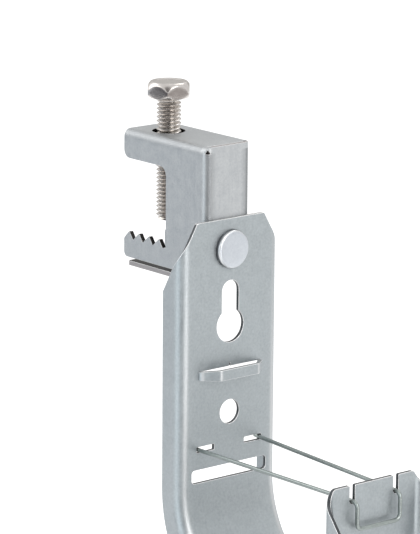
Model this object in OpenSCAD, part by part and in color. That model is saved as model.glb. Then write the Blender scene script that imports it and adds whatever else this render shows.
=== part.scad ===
// J-hook on a swivelling screw clamp for the flange of a steel beam.
// Millimetres. +Z is up and the mouth of the hook faces -Y, while the jaws of the clamp open towards +Y.
// The origin lies on the axis of the screw, level with the tips of the teeth that the flange rests on.

/* [Clamp] */
// Width over the two side walls
clamp_w = 14; // [13:0.5:18]
// Thickness of the sheet
clamp_t = 1.2; // [1:0.1:1.5]
// Outer radius of the bends
clamp_bend = 1.9; // [1.7:0.1:2.4]
// Depth of the leg, from the web's face to the throat
leg_d = 15; // [13:0.5:18]
// Reach of the jaws beyond the throat
jaw_reach = 16; // [15:0.5:20]
// Gap from the tooth tips up to the upper jaw
jaw_gap = 18; // [14:1:24]
// Height of the upper jaw
upper_jaw_h = 7; // [6:0.5:9]
// Height of the lower jaw up to its tooth tips
lower_jaw_h = 6.6; // [5.5:0.1:8]
// Radius of the free corners of the jaws
jaw_corner = 2; // [1:0.25:2.5]
// Radius in the corner under the upper jaw
throat_corner = 2.2; // [1:0.2:3]
// Distance from one tooth to the next
tooth_pitch = 3.8; // [3.4:0.1:3.9]
// Number of teeth
tooth_count = 4; // [2:1:4]
// Depth of the teeth
tooth_depth = 1.6; // [1:0.1:2]
// Run of the steep side of a tooth
tooth_steep = 1.45; // [1:0.05:1.8]
// Rise of the step between the last tooth and the throat
tooth_step = 0.4; // [0.2:0.1:0.8]
// Radius on the tips of the teeth
tooth_round = 0.35; // [0.1:0.05:0.5]
// Radius of the upper corner at the end of the lower jaw
jaw_tip_round = 0.8; // [0.2:0.1:1]
// Gap between the near wall and the floor flap below it
floor_gap = 0.8; // [0.4:0.1:1.5]
// Distance from the web's face to the start of the floor flap
floor_start = 5; // [2:0.5:8]
// How far the floor flap stops short of the jaw's end
floor_short = 1.7; // [0:0.1:3]
// Diameter of the clearance hole in the outer flap
flap_hole_d = 8; // [7.4:0.1:9]
// Outer diameter of the drawn collar round the thread
collar_d = 8.4; // [7.8:0.1:9]
// Length of the drawn collar below the inner flap
collar_h = 2; // [1:0.25:3]
// Width of the triangular relief where the bends meet
relief_w = 1.3; // [0.8:0.1:1.6]

/* [Screw] */
// Thread diameter
thread_d = 6; // [5:0.5:6]
// Length under the head
screw_len = 30; // [25:1:35]
// Height of the tip above the tooth tips
tip_height = 3.2; // [1:0.1:10]
// Length of the chamfer at the tip
tip_chamfer = 0.8; // [0.4:0.1:1.2]
// Distance from the throat to the screw's axis
screw_from_throat = 7.5; // [6.5:0.25:9]
// Head size across the flats
head_af = 10; // [9:0.5:11]
// Height of the head
head_h = 4; // [3:0.25:5]
// Diameter of the round face on top of the head
head_face_d = 9.2; // [8:0.1:9.8]
// Depth of the rounding on the head's upper corners
head_top_drop = 1.6; // [1:0.1:1.8]
// Depth of the rounding on the head's lower corners
head_low_drop = 1.4; // [0.8:0.1:1.8]

/* [Rivet] */
// Diameter of the head
rivet_head_d = 9.4; // [8:0.1:11]
// Height of the head
rivet_head_h = 1.3; // [0.8:0.1:2]
// Diameter of the shank
rivet_d = 5; // [4:0.25:6]
// Diameter of the upset tail
rivet_tail_d = 7.5; // [6.5:0.25:9]
// Height of the upset tail
rivet_tail_h = 1.2; // [0.8:0.1:2]
// Size of the chamfer round the head
rivet_edge = 0.4; // [0.2:0.1:0.8]
// Height of the rivet above the clamp's lower edge
rivet_up = 6.6; // [5.5:0.1:12]

/* [Hook] */
// Width over the two flanges
hook_w = 31; // [28:0.5:40]
// Thickness of the sheet
hook_t = 1; // [0.8:0.1:1.2]
// Outer radius of the bends
hook_bend = 3; // [2:0.25:3.5]
// Depth of the flanges
flange_d = 6.7; // [5:0.1:8]
// Inner radius of the saddle
saddle_r = 25.4; // [20:0.1:38]
// Height of the front lip above the saddle's centre
lip_h = 12.7; // [12:0.1:16]
// Straight edge at the top of the plate
top_edge_w = 20.8; // [14:0.2:23]
// Angle of the shoulders in the flat sheet
shoulder_angle = 60; // [50:1:65]
// Straight edge at the top of the front lip
lip_edge_w = 24.8; // [20:0.2:24.8]
// Angle of the shoulders at the front lip
lip_shoulder_angle = 52; // [30:1:52]
// Radius of the corners at the top edge
top_corner = 1.5; // [0.5:0.25:2.5]
// Height of the top edge above the rivet
top_above_rivet = 7.45; // [7:0.1:10]
// Length of the plate from the rivet down to the saddle's centre
plate_down = 58; // [57.5:0.5:80]

/* [Holes in the plate, measured down from the rivet] */
// Top of the keyhole
keyhole_top = 7.7; // [7.5:0.1:8.5]
// Width of the keyhole's narrow part
keyhole_w = 5.2; // [4:0.1:5.3]
// Centre of the keyhole's round part
keyhole_z = 18.8; // [17:0.1:20]
// Diameter of the keyhole's round part
keyhole_d = 8.3; // [8:0.1:9]
// Upper edge of the lanced bridge
bridge_top = 28.9; // [26:0.1:30]
// Height of the bridge, measured along the plate
bridge_h = 2.1; // [1.5:0.1:3]
// Length of the bridge where it leaves the plate
bridge_long = 19; // [16:0.5:22]
// Length of the bridge's flat crest
bridge_crest = 11.6; // [8:0.2:14]
// How far the bridge stands out of the plate
bridge_out = 4; // [2:0.1:5]
// Centre of the round hole
round_hole_z = 40.2; // [36:0.1:42]
// Diameter of the round hole
round_hole_d = 6; // [4:0.1:8]
// Middle of the two slots
slot_z = 48.2; // [46:0.1:49]
// Height of the slots
slot_h = 1.4; // [1.4:0.1:2]
// Distance between the two slots
slot_apart = 9.4; // [6:0.1:12]
// Length of one slot
slot_long = 5.45; // [4:0.05:6]
// Upper edge of the window
window_top = 53.2; // [52:0.1:53.4]
// Height of the window
window_h = 3.3; // [2:0.1:4]
// Width of the window
window_w = 23.3; // [15:0.1:24]

/* [Retainer] */
// Diameter of the wire
wire_d = 1; // [0.8:0.05:1]
// Radius of the wire's bends, at its middle line
wire_bend = 1.5; // [1:0.1:2.5]
// Angle at which each leg leans inwards
wire_lean = 3; // [0:0.5:6]
// Length of the ends that are turned outwards behind the plate
wire_tail = 2.4; // [1:0.1:3]
// Drop of the front part that hangs over the lip
wire_drop = 6.5; // [5:0.25:9]
// Height of the notches' floor in the lip, on which the wire rests, above the saddle's centre
notch_floor = 8.3; // [7:0.1:9.5]

/* [Clearances] */
// Between the screw and the threaded hole, on the radius
screw_play = 0.05; // [0.02:0.01:0.1]
// Between the rivet and the hook's hole, on the radius
rivet_play = 0.05; // [0.02:0.01:0.1]
// Between the clamp's web and the hook's plate
swivel_gap = 0.1; // [0.05:0.05:0.3]
// Between the rivet's head and the hook's plate
head_gap = 0.05; // [0.02:0.01:0.2]
// Between the wire and the end of its slot, the lip and the plate
wire_play = 0.15; // [0.1:0.05:0.4]
// Between the wire and the sides of its notch in the lip
notch_play = 0.3; // [0.2:0.05:0.6]

/* [Hidden] */
$fn = 64;
galvanised = [0.68, 0.71, 0.72];
nickel = [0.74, 0.72, 0.69];
rivet_grey = [0.80, 0.83, 0.85];
wire_grey = [0.62, 0.66, 0.65];
over = 0.5;
lap = 0.05;

// Places along Y: throat, web, plate and saddle
throat_y = -screw_from_throat;
jaw_end_y = throat_y + jaw_reach;
web_y = throat_y - leg_d;
web_in_y = web_y + clamp_t;
wall_y = web_y + clamp_bend;
plate_back_y = web_y - swivel_gap;
plate_y = plate_back_y - hook_t;
saddle_y = plate_y - saddle_r;
lip_y = saddle_y - saddle_r;

// Places along Z: jaws, flaps, rivet and hook
upper_z = jaw_gap;
top_z = upper_z + upper_jaw_h;
flap_z = top_z - clamp_t;
inner_flap_z = flap_z - clamp_t;
wall_low_z = -lower_jaw_h;
floor_top_z = wall_low_z - floor_gap;
floor_z = floor_top_z - clamp_t;
rivet_z = wall_low_z + rivet_up;
plate_top_z = rivet_z + top_above_rivet;
saddle_z = rivet_z - plate_down;
notch_z = saddle_z + notch_floor;

// Half widths
clamp_half = clamp_w / 2;
wall_in = clamp_half - clamp_t;
clamp_flat = clamp_half - clamp_bend;
hook_half = hook_w / 2;
hook_flat = hook_half - hook_bend;

// Head of the screw
head_corner_r = head_af / 2 / cos(30);
head_face_r = head_face_d / 2;
head_base_z = tip_height + screw_len;

// The retainer: its legs cross the slots, rest in the lip's notches and are joined by a bar in front of it
wire_r = wire_d / 2;
wire_hinge_y = (plate_y + plate_back_y) / 2;
wire_hinge_z = rivet_z - slot_z;
wire_slot_x = slot_apart / 2 + slot_long - wire_play - wire_r;
wire_rest_z = notch_z + wire_play + wire_r;
wire_front_y = lip_y - hook_t - wire_play - wire_bend;
wire_tail_y = plate_back_y + wire_play + wire_bend * tan((90 - wire_lean) / 2);
wire_slope = atan((wire_hinge_z - wire_rest_z) * cos(wire_lean) / (wire_hinge_y - lip_y));
wire_notch_x = wire_slot_x - (wire_hinge_y - lip_y + hook_t / 2) * tan(wire_lean);
wire_bar_half = wire_slot_x - (wire_hinge_y - wire_front_y) * tan(wire_lean);
wire_bar_z = wire_hinge_z - (wire_hinge_y - wire_front_y) * tan(wire_slope) / cos(wire_lean) - wire_drop;

function unit(v) = v / norm(v);

// Points of one corner, rounded to radius r between the lines from b to a and from b to c
function corner(a, b, c, r, n = 8) =
    r == 0 ? [b] :
    let (u = unit(a - b))
    let (v = unit(c - b))
    let (half = acos(u * v) / 2)
    let (centre = b + unit(u + v) * r / sin(half))
    let (first = b + u * r / tan(half) - centre)
    let (last = b + v * r / tan(half) - centre)
    [for (i = [0:n]) centre + r * unit(first * (n - i) / n + last * i / n)];

// Outline through [x, y, radius] corners
function rounded(path) =
    let (n = len(path))
    let (flat = [for (p = path) [p[0], p[1]]])
    [for (i = [0:n - 1]) each corner(flat[(i + n - 1) % n], flat[i], flat[(i + 1) % n], path[i][2])];

// Extrudes an outline drawn in Y and Z along X, between two places
module along_x(from, to) {
    translate([from, 0, 0]) rotate([90, 0, 90]) linear_extrude(to - from) children();
}

// Extrudes an outline drawn in X and Z along Y, between two places
module along_y(from, to) {
    translate([0, to, 0]) rotate([90, 0, 0]) linear_extrude(to - from) children();
}

// Quarter ring for a bend: centre at the origin, sheet between r - t and r, in the given quadrant
module quarter_ring(r, t, side_x, side_y) {
    intersection() {
        difference() {
            circle(r);
            circle(r - t);
        }
        translate([side_x < 0 ? -r : 0, side_y < 0 ? -r : 0]) square(r);
    }
}

// Outline of a side wall, from the web's bend to the ends of both jaws
tooth_tips = [for (k = [0:tooth_count - 1]) jaw_end_y - jaw_corner - k * tooth_pitch];
wall_outline = rounded(concat(
    [[wall_y, wall_low_z, 0], [jaw_end_y, wall_low_z, jaw_corner], [jaw_end_y, -tooth_depth, jaw_tip_round]],
    [for (tip = tooth_tips) each [[tip, 0, tooth_round], [tip - tooth_steep, -tooth_depth, 0]]],
    [[throat_y, tooth_step - tooth_depth, 0], [throat_y, upper_z, throat_corner],
     [jaw_end_y, upper_z, jaw_corner], [jaw_end_y, top_z, 0], [wall_y, top_z, 0]]
));

// Web with its two upright bends, and the near corner where three faces meet
module clamp_web() {
    translate([-clamp_flat, web_y, wall_low_z]) cube([2 * clamp_flat, clamp_t, top_z - wall_low_z]);
    translate([clamp_flat, wall_y, wall_low_z]) linear_extrude(top_z - wall_low_z)
        quarter_ring(clamp_bend, clamp_t, 1, -1);
    translate([-clamp_flat, wall_y, wall_low_z]) linear_extrude(top_z - clamp_bend - wall_low_z)
        quarter_ring(clamp_bend, clamp_t, -1, -1);
    difference() {
        near_corner(clamp_bend);
        near_corner(clamp_bend - clamp_t);
    }
}

// Solid corner between the upright bend and the bend along the top
module near_corner(r) {
    intersection() {
        translate([-clamp_flat, wall_y, top_z - clamp_bend]) cylinder(r = r, h = clamp_bend);
        translate([-clamp_flat, web_y, top_z - clamp_bend]) rotate([-90, 0, 0])
            cylinder(r = r, h = clamp_bend);
        translate([-clamp_half, web_y, top_z - clamp_bend]) cube(clamp_bend);
    }
}

// Part of a side wall between two heights
module wall_part(x, low, high) {
    intersection() {
        along_x(x, x + clamp_t) polygon(wall_outline);
        translate([x, web_y, low]) cube([clamp_t, leg_d + jaw_reach, high - low]);
    }
}

// Near wall, bent over at the top into the outer flap
module clamp_near_side() {
    wall_part(-clamp_half, wall_low_z, top_z - clamp_bend);
    along_y(wall_y, jaw_end_y) translate([-clamp_flat, top_z - clamp_bend])
        quarter_ring(clamp_bend, clamp_t, -1, 1);
    translate([-clamp_flat, web_in_y, flap_z])
        cube([clamp_flat + clamp_half, jaw_end_y - web_in_y, clamp_t]);
}

// Far wall, bent over at the top into the inner flap and at the bottom into the floor flap
module clamp_far_side() {
    inner_bend_z = flap_z - clamp_bend;
    floor_bend_z = floor_z + clamp_bend;
    floor_from_y = web_y + floor_start;
    floor_end_y = jaw_end_y - floor_short;
    wall_part(wall_in, wall_low_z, inner_bend_z);
    along_y(wall_y, jaw_end_y) translate([clamp_flat, inner_bend_z]) quarter_ring(clamp_bend, clamp_t, 1, 1);
    translate([-clamp_flat, wall_y, inner_flap_z]) cube([2 * clamp_flat, jaw_end_y - wall_y, clamp_t]);
    translate([wall_in, floor_from_y, floor_bend_z])
        cube([clamp_t, floor_end_y - floor_from_y, wall_low_z + over - floor_bend_z]);
    along_y(floor_from_y, floor_end_y) translate([clamp_flat, floor_bend_z])
        quarter_ring(clamp_bend, clamp_t, 1, -1);
    translate([-clamp_half, floor_from_y, floor_z])
        cube([clamp_flat + clamp_half, floor_end_y - floor_from_y, clamp_t]);
}

// Small triangular relief where the web's bend, the wall and the outer flap meet
module corner_relief() {
    middle = clamp_bend / 2;
    notch = relief_w / 2;
    translate([middle - clamp_half, web_y + middle, top_z - middle]) rotate([0, 0, -45])
        along_y(-clamp_bend, clamp_bend) polygon([[-notch, -notch], [notch, -notch], [0, notch]]);
}

module clamp_body() {
    color(galvanised) difference() {
        union() {
            clamp_web();
            clamp_near_side();
            clamp_far_side();
            translate([0, 0, inner_flap_z - collar_h]) cylinder(d = collar_d, h = collar_h + clamp_t / 2);
        }
        translate([0, 0, flap_z]) cylinder(d = flap_hole_d, h = clamp_t + over);
        translate([0, 0, inner_flap_z - collar_h - over])
            cylinder(r = thread_d / 2 + screw_play, h = collar_h + 2 * clamp_t + over);
        translate([0, web_y - over, rivet_z]) rotate([-90, 0, 0])
            cylinder(d = rivet_d, h = clamp_t + 2 * over);
        corner_relief();
    }
}

module clamp_screw() {
    color(nickel) {
        translate([0, 0, tip_height])
            cylinder(d1 = thread_d - 2 * tip_chamfer, d2 = thread_d, h = tip_chamfer);
        translate([0, 0, tip_height + tip_chamfer]) cylinder(d = thread_d, h = screw_len - tip_chamfer);
        translate([0, 0, head_base_z]) intersection() {
            cylinder(r = head_corner_r, h = head_h, $fn = 6);
            union() {
                cylinder(r1 = head_face_r, r2 = head_corner_r, h = head_low_drop);
                translate([0, 0, head_low_drop])
                    cylinder(r = head_corner_r, h = head_h - head_low_drop - head_top_drop);
                translate([0, 0, head_h - head_top_drop])
                    cylinder(r1 = head_corner_r, r2 = head_face_r, h = head_top_drop);
            }
        }
    }
}

module swivel_rivet() {
    color(rivet_grey) translate([0, plate_y - head_gap, rivet_z]) rotate([-90, 0, 0]) {
        shank = head_gap + hook_t + swivel_gap + clamp_t;
        translate([0, 0, -rivet_head_h])
            cylinder(d1 = rivet_head_d - 2 * rivet_edge, d2 = rivet_head_d, h = rivet_edge);
        translate([0, 0, rivet_edge - rivet_head_h])
            cylinder(d = rivet_head_d, h = rivet_head_h - rivet_edge);
        cylinder(d = rivet_d, h = shank);
        translate([0, 0, shank]) cylinder(d = rivet_tail_d, h = rivet_tail_h);
    }
}

// Channel section of the hook: web on the X axis, flanges towards +Y
module channel_section() {
    translate([-hook_flat, 0]) square([2 * hook_flat, hook_t]);
    for (side = [-1, 1]) {
        translate([side * hook_flat, hook_bend]) quarter_ring(hook_bend, hook_t, side, -1);
        translate([side > 0 ? hook_half - hook_t : -hook_half, hook_bend])
            square([hook_t, flange_d - hook_bend]);
    }
}

// Radius of the sheet's middle in the bends, and the length of sheet in one bend
bend_mid = hook_bend - hook_t / 2;
bend_long = bend_mid * PI / 2;

// What the shoulder's cut takes off one bend, which starts a length of sheet after the straight edge.
// The cut drops evenly as the sheet goes round.
module bend_cut(start, angle) {
    steps = 10;
    spare = 4;
    r_in = hook_bend - hook_t - over / 2;
    r_out = hook_bend + over / 2;
    turns = [for (i = [0:steps]) -spare + (90 + 2 * spare) * i / steps];
    low = [for (a = turns) -tan(angle) * (start + bend_mid * a * PI / 180)];
    ring = [for (i = [0:steps]) let (d = [sin(turns[i]), -cos(turns[i])])
        each [[r_in * d[0], r_in * d[1], low[i]], [r_out * d[0], r_out * d[1], low[i]],
              [r_out * d[0], r_out * d[1], over], [r_in * d[0], r_in * d[1], over]]];
    sides = [for (i = [0:steps - 1]) for (k = [0:3])
        let (a = 4 * i + k, b = 4 * i + (k + 1) % 4)
        each [[a, b, b + 4], [a, b + 4, a + 4]]];
    polyhedron(ring, concat([[3, 2, 1, 0]], sides, [[for (k = [0:3]) 4 * steps + k]]));
}

// What is cut off at the end of a channel to leave its straight edge, at z = 0, and two slanted shoulders
module shoulder_cut(edge_w, angle) {
    edge_half = edge_w / 2;
    bend_start = hook_flat - edge_half;
    flat_drop = tan(angle) * bend_start;
    flange_drop = tan(angle) * (bend_start + bend_long);
    deep = flange_d + over;
    difference() {
        translate([-hook_flat, -over, -flat_drop])
            cube([2 * hook_flat, hook_t + 2 * over, flat_drop + over]);
        along_y(-2 * over, hook_t + 2 * over) polygon(rounded([
            [-hook_flat, -flat_drop - over, 0], [-hook_flat, -flat_drop, 0], [-edge_half, 0, top_corner],
            [edge_half, 0, top_corner], [hook_flat, -flat_drop, 0], [hook_flat, -flat_drop - over, 0]]));
    }
    for (side = [0, 1]) mirror([side, 0, 0]) {
        translate([hook_flat, hook_bend, 0]) bend_cut(bend_start, angle);
        along_x(hook_half - hook_t - over / 2, hook_half + over) polygon([
            [hook_bend, over], [hook_bend, -flange_drop],
            [deep, -flange_drop - tan(angle) * (deep - hook_bend)], [deep, over]]);
    }
}

// Straight channel that stands on z = 0 and ends in shoulders at height h
module channel(h, edge_w, angle) {
    difference() {
        linear_extrude(h) channel_section();
        translate([0, 0, h]) shoulder_cut(edge_w, angle);
    }
}

// Lanced bridge, drawn in X and Y with the plate's front on y = 0
bridge_outline = [
    [-bridge_long / 2, 0], [-bridge_crest / 2, -bridge_out],
    [bridge_crest / 2, -bridge_out], [bridge_long / 2, 0],
    [bridge_long / 2, hook_t], [bridge_crest / 2, hook_t - bridge_out],
    [-bridge_crest / 2, hook_t - bridge_out], [-bridge_long / 2, hook_t]];

// Holes through the plate, drawn in X and Z with the rivet on the origin
module plate_holes() {
    circle(rivet_d / 2 + rivet_play);
    translate([0, -keyhole_z]) circle(d = keyhole_d);
    translate([0, -keyhole_top - keyhole_w / 2]) circle(d = keyhole_w);
    translate([-keyhole_w / 2, -keyhole_z]) square([keyhole_w, keyhole_z - keyhole_top - keyhole_w / 2]);
    translate([-bridge_long / 2, -bridge_top - bridge_h]) square([bridge_long, bridge_h]);
    translate([0, -round_hole_z]) circle(d = round_hole_d);
    for (side = [-1, 1])
        translate([side * (slot_apart + slot_long) / 2, -slot_z]) square([slot_long, slot_h], center = true);
    window_z = -window_top - window_h / 2;
    translate([0, window_z]) square([window_w - window_h, window_h], center = true);
    for (side = [-1, 1]) translate([side * (window_w - window_h) / 2, window_z]) circle(d = window_h);
}

// Open notches in the lip for the retainer's legs, drawn in X and Z
module lip_notches() {
    notch_r = wire_r + notch_play;
    for (side = [-1, 1]) translate([side * wire_notch_x, notch_z + notch_r]) {
        circle(notch_r);
        translate([-notch_r, 0]) square([2 * notch_r, lip_h]);
    }
}

module hook_body() {
    color(galvanised) {
        difference() {
            translate([0, plate_y, saddle_z]) channel(plate_top_z - saddle_z, top_edge_w, shoulder_angle);
            translate([0, 0, rivet_z]) along_y(plate_y - over, plate_back_y + over) plate_holes();
        }
        translate([0, plate_y, rivet_z - bridge_top - bridge_h]) linear_extrude(bridge_h)
            polygon(bridge_outline);
        translate([0, saddle_y, saddle_z]) rotate([-90, 0, 90]) rotate_extrude(angle = 180, $fn = 128)
            translate([saddle_r, 0]) rotate(-90) channel_section();
        difference() {
            translate([0, lip_y, saddle_z]) rotate(180) channel(lip_h, lip_edge_w, lip_shoulder_angle);
            along_y(lip_y - hook_t - over, lip_y + over) lip_notches();
        }
    }
}

// Length from the corner of two straight runs of wire to the start of the bend between them
function tangent(turn) = wire_bend * tan(turn / 2);

// A bent wire from the origin along +Z. Each step is a length, the angle of the bend after it and the roll
// of that bend. The wire is a little fuller in its bends.
module bent_wire(steps, i = 0) {
    long = steps[i][0];
    turn = steps[i][1];
    translate([0, 0, -lap]) cylinder(r = wire_r, h = long + 2 * lap, $fn = 24);
    if (turn > 0) translate([0, 0, long]) rotate([0, 0, steps[i][2]]) {
        rotate([90, 0, 0]) translate([wire_bend, 0, 0]) rotate(180 - turn)
            rotate_extrude(angle = turn, $fn = 48)
                translate([wire_bend, 0]) circle(wire_r + lap / 5, $fn = 24);
        translate([wire_bend, 0, 0]) rotate([0, turn, 0]) translate([-wire_bend, 0, 0])
            bent_wire(steps, i + 1);
    }
}

// The cross bar, and on each side the front drop, the leg through its slot and the tail behind the plate
module wire_retainer() {
    rise = 90 - wire_slope;
    out = 90 - wire_lean;
    leg = (wire_tail_y - wire_front_y) / cos(wire_lean) / cos(wire_slope);
    color(wire_grey) for (side = [0, 1]) mirror([side, 0, 0])
        translate([0, wire_front_y, wire_bar_z]) rotate([0, 90, 0])
            bent_wire([[wire_bar_half - tangent(90), 90, 180],
                [wire_drop - tangent(90) - tangent(rise), rise, -90 - wire_lean],
                [leg - tangent(rise) - tangent(out), out, -90], [wire_tail, 0, 0]]);
}

clamp_body();
clamp_screw();
swivel_rivet();
hook_body();
wire_retainer();
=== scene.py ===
import math

import bmesh
import bpy
import numpy as np
from mathutils import Matrix, Vector
from mathutils.geometry import delaunay_2d_cdt
from mathutils.kdtree import KDTree


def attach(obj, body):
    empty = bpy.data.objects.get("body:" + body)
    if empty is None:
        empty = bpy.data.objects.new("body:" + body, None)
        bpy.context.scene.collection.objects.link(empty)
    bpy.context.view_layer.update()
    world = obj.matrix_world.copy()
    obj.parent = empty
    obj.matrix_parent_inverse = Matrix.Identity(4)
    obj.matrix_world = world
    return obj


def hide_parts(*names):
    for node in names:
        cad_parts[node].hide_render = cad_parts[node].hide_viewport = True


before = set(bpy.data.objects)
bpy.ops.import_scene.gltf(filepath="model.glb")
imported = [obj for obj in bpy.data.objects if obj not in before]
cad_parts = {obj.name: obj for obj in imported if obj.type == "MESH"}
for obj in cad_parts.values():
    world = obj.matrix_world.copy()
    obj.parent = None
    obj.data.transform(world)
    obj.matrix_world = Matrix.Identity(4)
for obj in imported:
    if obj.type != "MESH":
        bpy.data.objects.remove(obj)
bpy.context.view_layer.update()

# Camera
# It stands in the photograph's place, to the left of the hook's front, and looks slightly down on the
# clamp. The picture is taken as 420 by 534.
picture_high = 534
focal_pixels = 3581.0
camera_turn = -40.0
camera_rise = 13.295
camera_roll = math.radians(0.436)
camera_place = Vector((-0.538049, -0.657104, 0.191847))


def way_to(turn, rise):
    """Direction away from the object, in degrees: turn is 0 before the hook and -90 at its left."""
    a, e = math.radians(turn), math.radians(rise)
    return Vector((math.sin(a) * math.cos(e), -math.cos(a) * math.cos(e), math.sin(e)))


def put_in_scene(name, data):
    """New object in the scene's own collection."""
    thing = bpy.data.objects.new(name, data)
    bpy.context.scene.collection.objects.link(thing)
    return thing


back_way = way_to(camera_turn, camera_rise)
level_way = way_to(camera_turn + 90.0, 0.0)
upright_way = back_way.cross(level_way)
right_way = math.cos(camera_roll) * level_way + math.sin(camera_roll) * upright_way
up_way = -math.sin(camera_roll) * level_way + math.cos(camera_roll) * upright_way

camera = put_in_scene("photo_camera", bpy.data.cameras.new("photo_camera"))
camera.data.sensor_width = 36.0
camera.data.lens = focal_pixels * camera.data.sensor_width / picture_high
camera.matrix_world = Matrix((right_way, up_way, back_way)).transposed().to_4x4()
camera.matrix_world.translation = camera_place
bpy.context.scene.camera = camera
bpy.context.scene.view_settings.view_transform = "Standard"

# Floor and light
# A pale floor lies well below the hanging hook. The background is white where it is seen or mirrored.
# Soft lamps stand before the hook, at its left, above it and behind it. Grey cards give the bright metal
# its contrast, as they do in a studio. The camera doesn't see them.
white = (1.0, 1.0, 1.0, 1.0)
floor_level = -0.4
floor_reach = 6.0
floor_pale = (0.84, 0.84, 0.84, 1.0)
floor_lift = 0.62
sky_fill = 0.72
lit_point = Vector((0.0, -0.02, -0.01))


def set_inputs(tree, node, inputs):
    """Gives each input of a node a value, or joins another node's output to it."""
    for socket, given in inputs.items():
        if isinstance(given, bpy.types.NodeSocket):
            tree.links.new(given, node.inputs[socket])
        else:
            node.inputs[socket].default_value = given
    return node


def add_node(tree, kind, inputs):
    """New node of a shader tree, with its inputs set."""
    return set_inputs(tree, tree.nodes.new(kind), inputs)


def bare_material(name):
    """New material without any nodes yet."""
    paint = bpy.data.materials.new(name)
    paint.use_nodes = True
    paint.node_tree.nodes.clear()
    return paint


def seen_or_mirrored(tree):
    """1 on camera, mirror and glass rays, 0 on the rays that light the object."""
    path = tree.nodes.new("ShaderNodeLightPath")
    share = path.outputs["Is Camera Ray"]
    for ray in ("Is Glossy Ray", "Is Transmission Ray"):
        either = add_node(tree, "ShaderNodeMath", {0: share, 1: path.outputs[ray]})
        either.operation = "MAXIMUM"
        share = either.outputs[0]
    return share


world = bpy.data.worlds.new("white_studio")
bpy.context.scene.world = world
world.use_nodes = True
sky = world.node_tree
sky.nodes.clear()
sky_light = add_node(sky, "ShaderNodeBackground", {"Color": white, "Strength": sky_fill})
sky_white = add_node(sky, "ShaderNodeBackground", {"Color": white, "Strength": 1.0})
sky_mix = add_node(sky, "ShaderNodeMixShader", {0: seen_or_mirrored(sky), 1: sky_light.outputs[0],
                                                2: sky_white.outputs[0]})
add_node(sky, "ShaderNodeOutputWorld", {"Surface": sky_mix.outputs[0]})

floor_paint = bare_material("floor_paint")
floor_tree = floor_paint.node_tree
floor_matt = add_node(floor_tree, "ShaderNodeBsdfDiffuse", {"Color": floor_pale})
floor_amount = add_node(floor_tree, "ShaderNodeMath", {0: seen_or_mirrored(floor_tree), 1: floor_lift})
floor_amount.operation = "MULTIPLY"
floor_glow = add_node(floor_tree, "ShaderNodeEmission",
                      {"Color": white, "Strength": floor_amount.outputs[0]})
floor_sum = add_node(floor_tree, "ShaderNodeAddShader",
                     {0: floor_matt.outputs[0], 1: floor_glow.outputs[0]})
add_node(floor_tree, "ShaderNodeOutputMaterial", {"Surface": floor_sum.outputs[0]})

floor_mesh = bpy.data.meshes.new("floor")
floor_mesh.from_pydata([(x * floor_reach, y * floor_reach, floor_level)
                        for x, y in ((-1, -1), (1, -1), (1, 1), (-1, 1))], [], [(0, 1, 2, 3)])
floor_mesh.materials.append(floor_paint)
floor = put_in_scene("floor", floor_mesh)


def soft_lamp(name, turn, rise, far, wide, high, power, tint):
    """Soft box that faces the object from a direction. Its sizes are in metres, its power in watts."""
    data = bpy.data.lights.new(name, "AREA")
    data.shape = "RECTANGLE"
    data.size = wide
    data.size_y = high
    data.energy = power
    data.color = tint
    lamp = put_in_scene(name, data)
    way = way_to(turn, rise)
    lamp.location = lit_point + way * far
    lamp.rotation_euler = way.to_track_quat("Z", "Y").to_euler()
    lamp.visible_camera = False
    return lamp


# Each lamp's turn, rise and distance, its width and height, its power and its tint
front_lamp = soft_lamp("front_lamp", -1.0, 12.0, 0.9, 0.36, 1.15, 4.5, (1.0, 1.0, 1.0))
left_lamp = soft_lamp("left_lamp", -82.0, 4.0, 0.9, 0.56, 1.0, 3.6, (0.87, 0.955, 1.0))
soft_lamp("high_lamp", -1.0, 43.0, 1.0, 0.56, 0.4, 1.9, (1.0, 0.99, 0.97))
soft_lamp("top_lamp", 98.0, 56.0, 1.1, 0.5, 0.5, 1.8, (1.0, 0.985, 0.96))
soft_lamp("back_lamp", -155.0, 35.0, 0.9, 0.5, 0.62, 1.6, (1.0, 1.0, 1.0))
soft_lamp("side_lamp", -117.0, 36.0, 0.9, 0.44, 0.36, 0.7, (1.0, 1.0, 1.0))


def grey_card(name, first, last, low, high, shade, far=1.05, across=12, up=4):
    """Card curved round the object between two turns and two rises. Only reflections show it."""
    points = []
    for k in range(across + 1):
        turn = first + (last - first) * k / across
        points += [lit_point + far * way_to(turn, low + (high - low) * m / up) for m in range(up + 1)]
    row = up + 1
    faces = [(row * k + m, row * k + m + row, row * k + m + row + 1, row * k + m + 1)
             for k in range(across) for m in range(up)]
    mesh = bpy.data.meshes.new(name)
    mesh.from_pydata(points, [], faces)
    paint = bare_material(name)
    glow = add_node(paint.node_tree, "ShaderNodeEmission", {"Color": (*shade, 1.0)})
    add_node(paint.node_tree, "ShaderNodeOutputMaterial", {"Surface": glow.outputs[0]})
    mesh.materials.append(paint)
    card = put_in_scene(name, mesh)
    card.visible_camera = False
    card.visible_diffuse = False
    card.visible_shadow = False


# Each card's first and last turn, its lowest and highest rise and its shade
grey_card("left_card", -112.0, -26.0, -20.0, 12.0, (0.13, 0.13, 0.145))
grey_card("front_card", -25.0, 32.0, -20.0, 4.0, (0.50, 0.47, 0.46), 1.1)
grey_card("left_back_card", -168.0, -113.0, -20.0, 6.0, (0.64, 0.69, 0.75))
grey_card("back_card", 100.0, 175.0, 2.0, 24.0, (0.64, 0.63, 0.61))
grey_card("hood_card", -68.0, -14.0, 28.0, 62.0, (0.27, 0.26, 0.26))

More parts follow.
